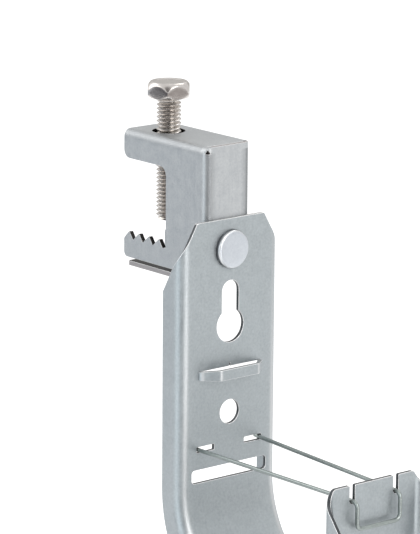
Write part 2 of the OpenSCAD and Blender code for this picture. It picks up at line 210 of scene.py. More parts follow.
# Clamp body
# One piece of galvanised steel sheet, blanked and folded: the web, two side walls with toothed jaws, an
# outer flap from the near wall, and an inner flap and a floor flap from the far wall. The inner flap is
# drawn into a short collar and threaded for the screw.
clamp_wide = 14.0
clamp_sheet = 1.2
clamp_bend = 1.9
web_y = -22.5
throat_y = -7.5
jaw_end_y = 8.5
clamp_top_z = 25.0
jaw_under_z = 18.0
wall_low_z = -6.6
floor_gap = 0.8
floor_from_y = web_y + 5.0
floor_end_y = jaw_end_y - 1.7
jaw_corner = 2.0
jaw_low_corner = 1.3
jaw_tip_round = 0.8
throat_corner = 2.2
tooth_pitch = 3.8
tooth_count = 4
tooth_deep = 2.05
tooth_steep = 1.45
tooth_step = 0.4
tooth_round = 0.35
clearance_hole_r = 4.0
thread_hole_r = 3.05
collar_r = 4.2
collar_high = 2.0
clamp_rivet_r = 2.5
clamp_rim = 0.1
slit = 0.2
relief_half = 0.52
relief_edge = 0.3
relief_deep = 1.0
relief_turn = 0.6
relief_rounds = (0.04, 0.08)
flap_corner = 0.5
flap_gap = 0.1
flap_notch = 0.3
floor_corners = (0.3, 0.2)
far_low_corner = 1.2
slit_end_r = 0.08
far_slit_rise = 0.2
near_slit_rise = 0.14
near_slit_end = 0.16
near_slit_r = 0.1
web_lap = 0.05
web_corner = 0.2
web_slack = 0.03
tooth_root_r = 0.12
tooth_throat_r = 0.1

MM = 0.001
wall_y = web_y + clamp_bend
clamp_flat = clamp_wide / 2 - clamp_bend
clamp_mid = clamp_bend - clamp_sheet / 2
clamp_arc = clamp_mid * math.pi / 2
wall_from = clamp_flat + clamp_arc
outer_bend_z = clamp_top_z - clamp_bend
inner_bend_z = clamp_top_z - clamp_sheet - clamp_bend
floor_bend_z = wall_low_z - floor_gap - clamp_sheet + clamp_bend


def round_off(before, here, after, r):
    """Centre of the arc that rounds a corner, and the ways from there to the arc's two ends."""
    to_last, to_next = (before - here).normalized(), (after - here).normalized()
    half = math.acos(max(-1.0, min(1.0, to_last.dot(to_next)))) / 2
    centre = here + (to_last + to_next).normalized() * r / math.sin(half)
    first = here + to_last * r / math.tan(half) - centre
    last = here + to_next * r / math.tan(half) - centre
    return centre, first, last


def rounded(path, steps=6):
    """Points of an outline through corners (u, v, radius)."""
    points = []
    for i, (u, v, r) in enumerate(path):
        if r == 0:
            points.append((u, v))
            continue
        centre, first, last = round_off(Vector(path[i - 1][:2]), Vector((u, v)),
                                        Vector(path[(i + 1) % len(path)][:2]), r)
        for k in range(steps + 1):
            way = (first * (steps - k) + last * k).normalized()
            points.append(tuple(centre + way * r))
    return points


def round_hole(u, v, r, steps=40):
    """Points of a circle round (u, v)."""
    return [(u + r * math.cos(2 * math.pi * k / steps), v + r * math.sin(2 * math.pi * k / steps))
            for k in range(steps)]


def split_edge(loop, columns, rows, longest=1.3, shortest=0.2):
    """Adds points to a loop of the blank where the grid lines cross it."""
    points = []
    for a, b in zip(loop, loop[1:] + loop[:1]):
        a, b = np.array(a), np.array(b)
        way = b - a
        length = float(np.hypot(*way))
        if length < 1e-4:
            continue
        parts = math.ceil(length / longest)
        cuts = [k / parts for k in range(1, parts)]
        for lines, axis in ((columns, 0), (rows, 1)):
            if abs(way[axis]) > 1e-9:
                cuts += [c for c in (np.array(lines) - a[axis]) / way[axis] if 0 < c < 1]
        kept = [0.0]
        for c in sorted(cuts):
            if (c - kept[-1]) * length > shortest and (1 - c) * length > shortest:
                kept.append(c)
        points += [tuple(a + way * c) for c in kept]
    return points


def inside(points, loops):
    """Even-odd test of points against the loops of the blank."""
    x, y = points[:, 0], points[:, 1]
    odd = np.zeros(len(points), bool)
    for loop in loops:
        a = np.array(loop)
        b = np.roll(a, -1, axis=0)
        for (x0, y0), (x1, y1) in zip(a, b):
            if y0 != y1:
                odd ^= ((y0 > y) != (y1 > y)) & (x < (x1 - x0) * (y - y0) / (y1 - y0) + x0)
    return odd


def cut_blank(outline, holes, thick, rim, columns, rows, blunt=0.4, clear=0.3):
    """Flat blank with worn, rounded rims. Gives points, directions out of the sheet, faces and marks.

    A point is (u, v, w). A mark is 0 on the flat sheet, 0.5 on the rounded rim and 1 on the cut wall.
    """
    # Each loop runs with the sheet at its left. Each point keeps its way out and how far its mitre goes.
    corners, ways, ends = [], [], []
    for number, loop in enumerate([outline] + holes):
        loop = np.array(split_edge(loop, columns, rows))
        following = np.roll(loop, -1, axis=0)
        turn = float(np.sum(loop[:, 0] * following[:, 1] - following[:, 0] * loop[:, 1]))
        if (turn > 0) != (number == 0):
            loop = loop[::-1]
        along = np.roll(loop, -1, axis=0) - loop
        along /= np.linalg.norm(along, axis=1)[:, None]
        out_next = np.stack([along[:, 1], -along[:, 0]], axis=1)
        out_last = np.roll(out_next, 1, axis=0)
        out = out_next + out_last
        out /= np.linalg.norm(out, axis=1)[:, None]
        stretch = 1 / np.maximum(blunt, np.sum(out * out_next, axis=1))
        first = sum(len(c) for c in corners)
        corners.append(loop)
        ways.append(np.concatenate([out, stretch[:, None]], axis=1))
        ends += [(first + i, first + (i + 1) % len(loop)) for i in range(len(loop))]
    corner = np.concatenate(corners)
    way = np.concatenate(ways)
    inset = corner - way[:, :2] * way[:, 2:] * rim
    inset_loops, start = [], 0
    for loop in corners:
        inset_loops.append(inset[start:start + len(loop)])
        start += len(loop)

    # The flat faces join the rim's inner points and the grid's points, which keep clear of the rim.
    grid = np.array([(c, r) for c in columns for r in rows])
    grid = grid[inside(grid, inset_loops)]
    near = KDTree(len(inset))
    for i, p in enumerate(inset):
        near.insert((p[0], p[1], 0.0), i)
    near.balance()
    grid = np.array([g for g in grid if near.find((g[0], g[1], 0.0))[2] > clear])
    flat = np.concatenate([inset, grid]) if len(grid) else inset
    made = delaunay_2d_cdt([Vector(p) for p in flat.tolist()], ends, [], 0, 1e-6)
    source = [s[0] for s in made[3]]
    triangles = np.array([[source[i] for i in f] for f in made[2]])
    triangles = triangles[inside(flat[triangles].mean(axis=1), inset_loops)]

    # Rings of points run from the front face round the rim, down the cut wall and round to the back face.
    count, spare = len(inset), len(flat) - len(inset)
    turns = [0.0, 30.0, 60.0, 90.0, 90.0, 120.0, 150.0, 180.0]
    points, out, cut = [], [], []
    for k, t in enumerate(turns):
        s, c = math.sin(math.radians(t)), math.cos(math.radians(t))
        high = rim * (1 - c) if k < len(turns) // 2 else thick - rim * (1 + c)
        place = corner - way[:, :2] * way[:, 2:] * rim * (1 - s)
        points.append(np.column_stack([place, np.full(count, high)]))
        out.append(np.column_stack([way[:, :2] * s, np.full(count, -c)]))
        cut += [{0: 0.0, 90: 1.0, 180: 0.0}.get(int(t), 0.5)] * count
    for high, side in ((0.0, -1.0), (thick, 1.0)):
        points.append(np.column_stack([flat[count:], np.full(spare, high)]))
        out.append(np.tile([0.0, 0.0, side], (spare, 1)))
        cut += [0.0] * spare
    last_ring = (len(turns) - 1) * count
    grid_low, grid_high = len(turns) * count, len(turns) * count + spare
    low = np.where(triangles < count, triangles, triangles - count + grid_low)
    high = np.where(triangles < count, triangles + last_ring, triangles - count + grid_high)
    faces = [tuple(f[::-1]) for f in low.tolist()] + [tuple(f) for f in high.tolist()]
    for k in range(len(turns) - 1):
        a, b = k * count, (k + 1) * count
        faces += [(a + i, a + j, b + j, b + i) for i, j in ends]
    return np.concatenate(points), np.concatenate(out), faces, cut


def make_piece(name, points, faces, directions=None, marks=None, sharp=None):
    """Mesh object from points in millimetres. The faces are turned outwards."""
    points = np.asarray(points, float)
    volume = sum(float(np.dot(points[f[0]], np.cross(points[f[i]], points[f[i + 1]])))
                 for f in faces for i in range(1, len(f) - 1))
    if volume < 0:
        faces = [tuple(reversed(f)) for f in faces]
    mesh = bpy.data.meshes.new(name)
    mesh.from_pydata((points * MM).tolist(), [], faces)
    mesh.polygons.foreach_set("use_smooth", [True] * len(mesh.polygons))
    if sharp is not None:
        mesh.set_sharp_from_angle(angle=math.radians(sharp))
    if marks is not None:
        # This mark places the rim's painted highlight, the cut wall's partly painted shade and other
        # painted highlights and shade.
        layer = mesh.attributes.new("edge_and_painted_light", "FLOAT", "POINT")
        layer.data.foreach_set("value", marks)
    if directions is not None:
        mesh.normals_split_custom_set_from_vertices(directions.tolist())
    return put_in_scene(name, mesh)


def bend_blank(name, blank, fold, step=1e-3):
    """Folds a flat blank and keeps the true direction of its surface at each point."""
    points, out, faces, cut = blank
    columns = [(fold(points + np.eye(3)[k] * step) - fold(points - np.eye(3)[k] * step)) / (2 * step)
               for k in range(3)]
    slope = np.linalg.inv(np.stack(columns, axis=2))
    directions = np.einsum("nji,nj->ni", slope, out)
    directions /= np.linalg.norm(directions, axis=1)[:, None]
    return make_piece(name, fold(points), faces, directions, cut)


def along_wall(y):
    """Place in the blank, out from the web's middle, of a point of a side wall."""
    return wall_from + y - wall_y


def fold_clamp(points):
    """Bends the clamp's blank: p runs across it, q up it and w into the sheet, from the outer face."""
    p, q, w = points.T
    away = np.abs(p)
    side = np.sign(p)
    turn = np.clip((away - clamp_flat) / clamp_mid, 0, math.pi / 2)
    reach = clamp_bend - w
    x = side * (np.minimum(away, clamp_flat) + reach * np.sin(turn))
    y = wall_y - reach * np.cos(turn) + np.maximum(away - wall_from, 0)
    z = q.copy()
    on_wall = away > wall_from
    on_outer_flap = (p < 0) & (((q > outer_bend_z) & on_wall) | (q > clamp_top_z + web_slack))
    on_inner_flap = (p > 0) & (q > inner_bend_z) & on_wall
    on_floor_flap = (p > 0) & (q < floor_bend_z) & on_wall
    for zone, bend_z, up in ((on_outer_flap, outer_bend_z, 1), (on_inner_flap, inner_bend_z, 1),
                             (on_floor_flap, floor_bend_z, -1)):
        past = up * (q - bend_z)
        lean = np.clip(past / clamp_mid, 0, math.pi / 2)
        run = np.maximum(past - clamp_arc, 0)
        x = np.where(zone, side * (clamp_flat + reach * np.cos(lean) - run), x)
        y = np.where(zone, wall_y + away - wall_from, y)
        z = np.where(zone, bend_z + up * reach * np.sin(lean), z)
    return np.stack([x, y, z], axis=1)


def teeth(side):
    """Corners of the toothed edge, from the jaw's end to the throat."""
    path = [(side * along_wall(jaw_end_y), -tooth_deep, jaw_tip_round)]
    for k in range(tooth_count):
        tip = jaw_end_y - jaw_corner - k * tooth_pitch
        path += [(side * along_wall(tip), 0.0, tooth_round),
                 (side * along_wall(tip - tooth_steep), -tooth_deep, tooth_root_r)]
    return path + [(side * along_wall(throat_y), tooth_step - tooth_deep, tooth_throat_r)]


flap_end = clamp_flat + clamp_wide / 2
near_end, far_end = -along_wall(jaw_end_y), along_wall(jaw_end_y)
outer_flap_q = outer_bend_z + clamp_arc + flap_end
inner_flap_q = inner_bend_z + clamp_arc + 2 * clamp_flat
floor_flap_q = floor_bend_z - clamp_arc - flap_end
near_top = [(-clamp_flat - clamp_mid * a, outer_bend_z + clamp_bend * math.cos(a), 0)
            for a in np.radians(np.arange(0, 87, 6))]
floor_start, floor_stop = along_wall(floor_from_y), along_wall(floor_end_y)
inner_start, outer_start = wall_from + slit, -along_wall(web_y + clamp_sheet + flap_gap)
far_slit_q = inner_bend_z + far_slit_rise
near_slit_q = outer_bend_z + clamp_arc + near_slit_end
clamp_outline = rounded(
    [(near_end, wall_low_z, jaw_low_corner), (floor_start, wall_low_z, floor_corners[0]),
     (floor_start, floor_flap_q, flap_corner), (floor_stop, floor_flap_q, flap_corner),
     (floor_stop, wall_low_z, floor_corners[1]), (far_end, wall_low_z, far_low_corner)]
    + teeth(1)
    + [(along_wall(throat_y), jaw_under_z, throat_corner), (far_end, jaw_under_z, jaw_corner),
       (far_end, inner_flap_q, flap_corner), (inner_start, inner_flap_q, flap_corner),
       (inner_start, far_slit_q, slit_end_r), (wall_from - web_lap, far_slit_q, slit_end_r),
       (wall_from - web_lap, clamp_top_z, web_corner)]
    + near_top
    + [(-wall_from - slit, outer_bend_z + near_slit_rise, 0), (-wall_from - slit, near_slit_q, near_slit_r),
       (outer_start, near_slit_q, flap_notch), (outer_start, outer_flap_q, flap_corner),
       (near_end, outer_flap_q, flap_corner), (near_end, jaw_under_z, jaw_corner),
       (-along_wall(throat_y), jaw_under_z, throat_corner)]
    + teeth(-1)[::-1])
clearance_hole = (-along_wall(0.0), outer_bend_z + clamp_arc + clamp_flat)
thread_hole = (along_wall(0.0), inner_bend_z + clamp_arc + clamp_flat)
relief_middle = -clamp_flat - clamp_mid * relief_turn
relief_top = outer_bend_z + clamp_bend * math.cos(relief_turn) - relief_edge
relief_low = relief_top - relief_deep
clamp_holes = [round_hole(*clearance_hole, clearance_hole_r), round_hole(*thread_hole, thread_hole_r),
               round_hole(0.0, 0.0, clamp_rivet_r),
               rounded([(relief_middle, relief_top, relief_rounds[0]),
                        (relief_middle - relief_half, relief_low, relief_rounds[1]),
                        (relief_middle + relief_half, relief_low, relief_rounds[1])], steps=3)]


def bend_lines(start, length, parts):
    """Places of the grid lines that share a length of the blank evenly."""
    return [start + length * k / parts for k in range(parts + 1)]


clamp_columns = (bend_lines(-clamp_flat, 2 * clamp_flat, 8)
                 + [s * c for s in (-1, 1) for c in bend_lines(clamp_flat, clamp_arc, 8)[1:]]
                 + [s * c for s in (-1, 1) for c in bend_lines(wall_from, far_end - wall_from, 21)[1:-1]])
clamp_rows = sorted(bend_lines(outer_bend_z, clamp_arc, 8) + bend_lines(inner_bend_z, clamp_arc, 8)
                    + bend_lines(floor_bend_z - clamp_arc, clamp_arc, 8)
                    + bend_lines(wall_low_z, inner_bend_z - wall_low_z, 20)[1:-1]
                    + bend_lines(outer_bend_z + clamp_arc, flap_end, 9)[1:-1]
                    + bend_lines(floor_flap_q, flap_end, 9)[1:-1])
clamp_blank = cut_blank(clamp_outline, clamp_holes, clamp_sheet, clamp_rim, clamp_columns, clamp_rows)

# The teeth and the clearance hole are painted black in their depth, the inner flap's hidden side is painted
# in the outer one's shade, and the floor flap is painted darker inwards. Marks over 1 paint this shade.
tooth_shade_mark, wall_mark, shade_mark = 1.92, 1.0, 2.0
tooth_near = 0.1
hole_near = 0.05
p, q, w = clamp_blank[0].T
clamp_marks = np.array(clamp_blank[3])
in_teeth = ((np.abs(p) > along_wall(throat_y) + 2 * tooth_near)
            & (q < tooth_near) & (q > -tooth_deep - tooth_near))
in_hole = np.hypot(p - clearance_hole[0], q - clearance_hole[1]) < clearance_hole_r + hole_near
on_floor = (p > 0) & (q < floor_bend_z - clamp_arc) & (w > 0.6 * clamp_sheet) & (clamp_marks < 0.1)
under_flap = (p > wall_from) & (q > inner_bend_z + clamp_arc) & (w < 0.2 * clamp_sheet)
clamp_marks[in_teeth & (clamp_marks > 0.9)] = tooth_shade_mark
clamp_marks[in_hole & (clamp_marks > 0.4)] = shade_mark
floor_depth = (floor_bend_z - clamp_arc - q[on_floor]) / (0.6 * flap_end)
clamp_marks[on_floor] = wall_mark + np.clip(floor_depth, 0, 1)
clamp_marks[under_flap] = shade_mark
clamp_piece = bend_blank("clamp_sheet", clamp_blank[:3] + (clamp_marks,), fold_clamp)


def bell(place, middle, wide):
    """1 at the middle, falling smoothly to 0 on both sides."""
    return np.exp(-((place - middle) / wide) ** 2)


# The bends are painted darker, a painted shade, most along the upright bends and less along the near
# top bend. Places are shares of the way round the bend.
upright_bend_shade, upright_middle, upright_wide = 0.85, 0.3, 0.3
top_bend_shade, top_middle, top_wide = 0.34, 0.5, 0.4
round_upright = (np.abs(p) - clamp_flat) / clamp_arc
round_top = (q - outer_bend_z) / clamp_arc
bend_shade = (upright_bend_shade * bell(round_upright, upright_middle, upright_wide) * (q < outer_bend_z + 0.5)
        + top_bend_shade * bell(round_top, top_middle, top_wide) * (p < -wall_from))
clamp_piece.data.attributes.new("painted_shade_on_bends", "FLOAT", "POINT").data.foreach_set("value", bend_shade)


def row_faces(row, rows, closed=True):
    """Faces between neighbouring rows of points. The last row joins the first where they are closed."""
    faces = []
    for k in range(rows if closed else rows - 1):
        a, b = k * row, (k + 1) % rows * row
        faces += [(a + i, b + i, b + i + 1, a + i + 1) for i in range(row - 1)]
    return faces


def turned(profile, steps):
    """Points and faces of a profile of (radius, height) turned about the Z axis."""
    points = []
    for k in range(steps):
        a = 2 * math.pi * k / steps
        points += [(r * math.cos(a), r * math.sin(a), h) for r, h in profile]
    return points, row_faces(len(profile), steps)


def tidy_mesh(piece, sharp, weld=2e-6):
    """Welds double points, drops empty faces and marks the sharp edges."""
    shape = bmesh.new()
    shape.from_mesh(piece.data)
    bmesh.ops.remove_doubles(shape, verts=shape.verts, dist=weld)
    bmesh.ops.dissolve_degenerate(shape, dist=weld, edges=shape.edges)
    bmesh.ops.recalc_face_normals(shape, faces=shape.faces)
    shape.to_mesh(piece.data)
    shape.free()
    piece.data.set_sharp_from_angle(angle=math.radians(sharp))


# A lap of the sheet closes the near top corner, between the web's rounded end and the outer flap's bend.
corner_proud = 0.012
corner_deep = 0.25
corner_front = 0.05
corner_back = 0.4
corner_rows, corner_columns = 12, 4
corner_points, corner_faces = [], []
for reach in (clamp_bend + corner_proud, clamp_bend - corner_deep):
    for k in range(corner_rows + 1):
        lean = math.pi / 2 * k / corner_rows
        front = wall_y - clamp_bend * math.sin(lean) - corner_front
        corner_points += [(-clamp_flat - reach * math.cos(lean),
                           front + (wall_y + corner_back - front) * i / corner_columns,
                           outer_bend_z + reach * math.sin(lean)) for i in range(corner_columns + 1)]
row = corner_columns + 1
under = row * (corner_rows + 1)
for k in range(corner_rows):
    for i in range(corner_columns):
        a = k * row + i
        b = under + a
        corner_faces += [(a, a + 1, a + row + 1, a + row), (b, b + row, b + row + 1, b + 1)]
    a, b = k * row, k * row + row - 1
    corner_faces += [(a, a + row, under + a + row, under + a), (b, under + b, under + b + row, b + row)]
for i in range(corner_columns):
    a = corner_rows * row + i
    corner_faces += [(i, under + i, under + i + 1, i + 1), (a, a + 1, under + a + 1, under + a)]
corner_piece = make_piece("clamp_corner", corner_points, corner_faces)
tidy_mesh(corner_piece, sharp=40)

# The collar round the thread hangs from the inner flap and reaches a little into it.
collar_top = inner_bend_z + clamp_bend - clamp_sheet
collar_low = collar_top - collar_high
collar_sink = 0.4
collar_points, collar_faces = turned(
    [(thread_hole_r, collar_top + collar_sink), (thread_hole_r, collar_low + 0.3),
     (thread_hole_r + 0.25, collar_low), (collar_r - 0.3, collar_low), (collar_r - 0.08, collar_low + 0.1),
     (collar_r, collar_low + 0.3), (collar_r, collar_top - 0.35), (collar_r + 0.1, collar_top - 0.12),
     (collar_r + 0.35, collar_top), (collar_r + 0.35, collar_top + collar_sink),
     (thread_hole_r, collar_top + collar_sink)], steps=48)
collar_piece = make_piece("clamp_collar", collar_points, collar_faces)
tidy_mesh(collar_piece, sharp=40)


def shader_group(name, takes, gives):
    """New shader node group with its end nodes. takes and gives list its sockets by name and kind."""
    tree = bpy.data.node_groups.new(name, "ShaderNodeTree")
    for sockets, way in ((takes, "INPUT"), (gives, "OUTPUT")):
        for socket, kind in sockets:
            tree.interface.new_socket(name=socket, in_out=way, socket_type="NodeSocket" + kind)
    return tree, tree.nodes.new("NodeGroupInput"), tree.nodes.new("NodeGroupOutput")


def mix_colours(tree, share, under, over):
    """Lays a colour over another by a share of 0 to 1."""
    mix = tree.nodes.new("ShaderNodeMix")
    mix.data_type = "RGBA"
    return set_inputs(tree, mix, {0: share, 6: under, 7: over}).outputs[2]


def coating_bloom():
    """Soft cloudy bloom, fine grain and faint rolling lines of a thin metal coating."""
    tree, given, result = shader_group(
        "coating_bloom",
        (("Place", "Vector"), ("Pale", "Color"), ("Dark", "Color"), ("Cloud size", "Float"),
         ("Grain size", "Float"), ("Rolling lines", "Float"), ("Smooth", "Float"), ("Rough", "Float")),
        (("Colour", "Color"), ("Roughness", "Float"), ("Height", "Float")))
    grain_share = 0.6
    rolling_scale = (1500.0, 1500.0, 60.0)

    def noise(place, scale, detail, rough=0.5):
        return add_node(tree, "ShaderNodeTexNoise", {"Vector": place, "Scale": scale, "Detail": detail,
                                                     "Roughness": rough}).outputs["Fac"]

    def spread(value, least, most):
        """Stretches the middle of a noise over a range."""
        return add_node(tree, "ShaderNodeMapRange", {"Value": value, "From Min": 0.3, "From Max": 0.7,
                                                     "To Min": least, "To Max": most}).outputs["Result"]

    place = given.outputs["Place"]
    cloud = noise(place, given.outputs["Cloud size"], detail=4.0, rough=0.6)
    grain = noise(place, given.outputs["Grain size"], detail=2.0)
    squeeze = add_node(tree, "ShaderNodeMapping", {"Vector": place, "Scale": rolling_scale})
    lines = noise(squeeze.outputs["Vector"], scale=1.0, detail=3.0)
    both = add_node(tree, "ShaderNodeMix", {"Factor": grain_share, "A": cloud, "B": grain})
    rolled = add_node(tree, "ShaderNodeMix", {"Factor": given.outputs["Rolling lines"],
                                              "A": both.outputs["Result"], "B": lines})
    height = rolled.outputs["Result"]
    colour = mix_colours(tree, spread(height, 0.0, 1.0), given.outputs["Dark"], given.outputs["Pale"])
    rough = spread(cloud, given.outputs["Smooth"], given.outputs["Rough"])
    set_inputs(tree, result, {"Colour": colour, "Roughness": rough, "Height": height})
    return tree


def edge_and_painted_light_tints():
    """Tints laid over a colour by the marks: a painted highlight on a blank's rim, its cut wall of bare
    steel, partly painted shade, and painted deep shade.
    """
    tree, given, result = shader_group(
        "edge_and_painted_light_tints",
        (("Colour", "Color"), ("Mark", "Float"), ("Rim", "Color"), ("Wall", "Color"), ("Shade", "Color")),
        (("Colour", "Color"),))
    colour = given.outputs["Colour"]
    for low, high, tint in ((0.0, 0.5, "Rim"), (0.5, 1.0, "Wall"), (1.0, 2.0, "Shade")):
        share = add_node(tree, "ShaderNodeMapRange",
                         {"Value": given.outputs["Mark"], "From Min": low, "From Max": high})
        colour = mix_colours(tree, share.outputs["Result"], colour, given.outputs[tint])
    set_inputs(tree, result, {"Colour": colour})
    return tree


bloom_group = coating_bloom()
edge_group = edge_and_painted_light_tints()
deep_shade = (0.012, 0.011, 0.010, 1.0)
bend_shade_share = 0.45


def coated_steel(name, pale, dark, rim, wall, smooth, rough, lines, cloud=420.0, grain=1700.0, bump=0.05,
                 metallic=0.85, shade_bends=False):
    """Steel under a thin metal coating. Its marks lay a painted highlight on the rims, a cut wall tint that
    is partly painted shade and painted deep shade, and, when asked, a painted shade on the bends.

    cloud and grain are noise scales, a bigger one is finer. bump is in millimetres.
    """
    finish = bpy.data.materials.new(name)
    finish.use_nodes = True
    tree = finish.node_tree

    def group(inner, inputs):
        node = tree.nodes.new("ShaderNodeGroup")
        node.node_tree = inner
        return set_inputs(tree, node, inputs)

    def marks(layer):
        node = tree.nodes.new("ShaderNodeAttribute")
        node.attribute_name = layer
        return node.outputs["Fac"]

    place = tree.nodes.new("ShaderNodeTexCoord")
    bloom = group(bloom_group, {"Place": place.outputs["Object"], "Pale": (*pale, 1.0),
                                "Dark": (*dark, 1.0), "Cloud size": cloud, "Grain size": grain,
                                "Rolling lines": lines, "Smooth": smooth, "Rough": rough})
    colour = bloom.outputs["Colour"]
    # A painted shade darkens the bends, by their mark.
    if shade_bends:
        bend_shade_tint = (*(bend_shade_share * c for c in dark), 1.0)
        colour = mix_colours(tree, marks("painted_shade_on_bends"), colour, bend_shade_tint)
    edge = group(edge_group, {"Colour": colour, "Mark": marks("edge_and_painted_light"), "Rim": (*rim, 1.0),
                              "Wall": (*wall, 1.0), "Shade": deep_shade})
    relief = add_node(tree, "ShaderNodeBump", {"Strength": 1.0, "Distance": bump * MM,
                                               "Height": bloom.outputs["Height"]})
    set_inputs(tree, tree.nodes["Principled BSDF"],
               {"Metallic": metallic, "Base Color": edge.outputs["Colour"],
                "Roughness": bloom.outputs["Roughness"], "Normal": relief.outputs["Normal"]})
    return finish


# The rim tint is a painted highlight, and the cut wall tint is bare steel, partly painted shade.
clamp_finish = coated_steel("clamp_galvanised", pale=(0.488, 0.502, 0.508), dark=(0.378, 0.396, 0.412),
                            rim=(0.60, 0.60, 0.60), wall=(0.36, 0.34, 0.34), smooth=0.42, rough=0.54,
                            lines=0.2, grain=2200.0, shade_bends=True)
for piece in (clamp_piece, corner_piece, collar_piece):
    piece.data.materials.append(clamp_finish)
    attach(piece, "clamp")
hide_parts("clamp_body")

# Clamp screw
# Nickel-plated M6 hexagon screw with a rolled thread up to its head. The head's corners are rounded off
# above and below, and its top is slightly dished. It is driven down on the beam's flange.
thread_r = 3.0
thread_pitch = 1.0
thread_root_r = 2.39
screw_tip_z = 3.2
screw_long = 30.0
tip_taper = 0.8
runout = 1.1
runout_end = 0.25
runout_rise = 0.18
root_shade_from = 2.8
root_shade_over = 0.35
tip_rim = 0.25
tip_dome = 0.03
head_across = 10.0
head_high = 4.0
head_face_r = 4.3
head_top_drop = 2.2
head_top_bulge = 1.5
head_low_r = 4.7
head_low_drop = 1.0
head_low_bulge = 1.2
head_dish = 0.15
dish_rim = 0.7
dish_wide = 0.7
head_soft = 0.2
head_soft_fall = 0.02
head_blunt = 0.06
head_turn = math.radians(-12.7)
turn_steps = 60

head_z = screw_tip_z + screw_long
# Places along one pitch, and how high the ridge stands there, from its root to its crest
ridge = [(0.0, 1.0), (0.06, 1.0), (0.10, 0.93), (0.40, 0.10), (0.46, 0.0), (0.54, 0.0), (0.60, 0.10),
         (0.90, 0.93), (0.94, 1.0)]


def thread_radius(z, turn):
    """Radius of the thread's surface at a height and an angle. It fades out under the head."""
    place = (z / thread_pitch - turn / (2 * math.pi)) % 1.0
    full = float(np.interp(place, [at for at, high in ridge] + [1.0], [high for at, high in ridge] + [1.0]))
    fade = min(1.0, max(0.0, (head_z - runout_end - z) / runout))
    r = thread_root_r + (thread_r - thread_root_r) * full * fade + runout_rise * (1 - fade)
    return min(r, thread_r - tip_taper + (z - screw_tip_z))


thread_points = []
rise_places = [(k + at) * thread_pitch for k in range(-1, math.ceil(screw_long) + 1) for at, high in ridge]
base_z = math.floor(screw_tip_z)
for k in range(turn_steps + 1):
    a = 2 * math.pi * k / turn_steps
    for h in rise_places:
        z = min(head_z, max(screw_tip_z, base_z + h + thread_pitch * k / turn_steps))
        r = thread_radius(z, a)
        thread_points.append((r * math.cos(a), r * math.sin(a), z))
row = len(rise_places)
thread_faces = row_faces(row, turn_steps + 1, closed=False)
tip_r = thread_r - tip_taper
tip_start = len(thread_points)
for ring_r, ring_z in ((tip_r - tip_rim, screw_tip_z), (tip_r / 2, screw_tip_z + 2 / 3 * tip_dome)):
    thread_points += [(x, y, ring_z) for x, y in round_hole(0.0, 0.0, ring_r, turn_steps)]
thread_points.append((0.0, 0.0, screw_tip_z + tip_dome))
for k in range(turn_steps):
    outer, inner = tip_start + k, tip_start + turn_steps + k
    next_outer, next_inner = tip_start + (k + 1) % turn_steps, tip_start + turn_steps + (k + 1) % turn_steps
    thread_faces += [(k * row, outer, next_outer, (k + 1) * row), (outer, inner, next_inner, next_outer),
                     (inner, tip_start + 2 * turn_steps, next_inner)]
# The thread's roots are painted darker, a painted shade in its hollows.
thread_root_shade = [min(1.0, max(0.0, (root_shade_from - math.hypot(x, y)) / root_shade_over))
                for x, y, z in thread_points]
thread_piece = make_piece("screw_thread", thread_points, thread_faces, marks=thread_root_shade)
tidy_mesh(thread_piece, sharp=38)

head_corner_r = head_across / 2 / math.cos(math.pi / 6)
side_steps = 16


def head_edge(turn):
    """Distance from the axis to the hexagon's side."""
    return min(head_corner_r - head_blunt, head_across / 2 / math.cos((turn % (math.pi / 3)) - math.pi / 6))


def fall(edge, face_r, deep, bulge):
    """Fall of a rounded chamfer from the flat face to a point of the head's side."""
    return deep * (max(0.0, edge - face_r) / (head_corner_r - face_r)) ** bulge


def chamfer(edge, face_r, deep, bulge):
    """Points (radius, fall) down a rounded chamfer to the side of the head."""
    reach = [face_r + (edge - face_r) * f for f in (0.2, 0.4, 0.6, 0.8, 0.95)]
    return [(r, fall(r, face_r, deep, bulge)) for r in reach]


head_points = []
for k in range(6 * side_steps):
    a = math.pi / 3 * k / side_steps
    edge = head_edge(a)
    low = fall(edge, head_low_r, head_low_drop, head_low_bulge)
    high = head_high - fall(edge, head_face_r, head_top_drop, head_top_bulge)
    middle = (low + high) / 2
    top_chamfer = [(r, head_high - drop)
                   for r, drop in chamfer(edge, head_face_r, head_top_drop, head_top_bulge)]
    dish_r = head_face_r - dish_rim
    profile = ([(0.0, 0.0), (2.0, 0.0), (head_low_r - head_soft, 0.0), (head_low_r, head_soft_fall)]
               + chamfer(edge, head_low_r, head_low_drop, head_low_bulge)
               + [(edge, min(middle, low + 0.1)), (edge, middle), (edge, max(middle, high - 0.1))]
               + top_chamfer[::-1]
               + [(head_face_r, head_high - head_soft_fall), (head_face_r - head_soft, head_high),
                  (dish_r, head_high), (dish_r - 0.3, head_high - 0.7 * head_dish),
                  (dish_r - dish_wide, head_high - head_dish), (1.5, head_high - head_dish),
                  (0.0, head_high - head_dish)])
    a += head_turn
    head_points += [(r * math.cos(a), r * math.sin(a), head_z + z) for r, z in profile]
head_piece = make_piece("screw_head", head_points, row_faces(len(profile), 6 * side_steps))
tidy_mesh(head_piece, sharp=32)

# Its rim and wall tints paint the thread's roots darker, a painted shade.
screw_finish = coated_steel("screw_nickel", pale=(0.65, 0.62, 0.595), dark=(0.52, 0.49, 0.47),
                            rim=(0.62, 0.585, 0.55), wall=(0.54, 0.505, 0.47), smooth=0.18, rough=0.28,
                            lines=0.0, cloud=700.0, grain=5200.0, bump=0.01, metallic=1.0)
for piece in (thread_piece, head_piece):
    piece.data.materials.append(screw_finish)
    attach(piece, "screw")
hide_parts("clamp_screw")
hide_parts("clamp_screw")

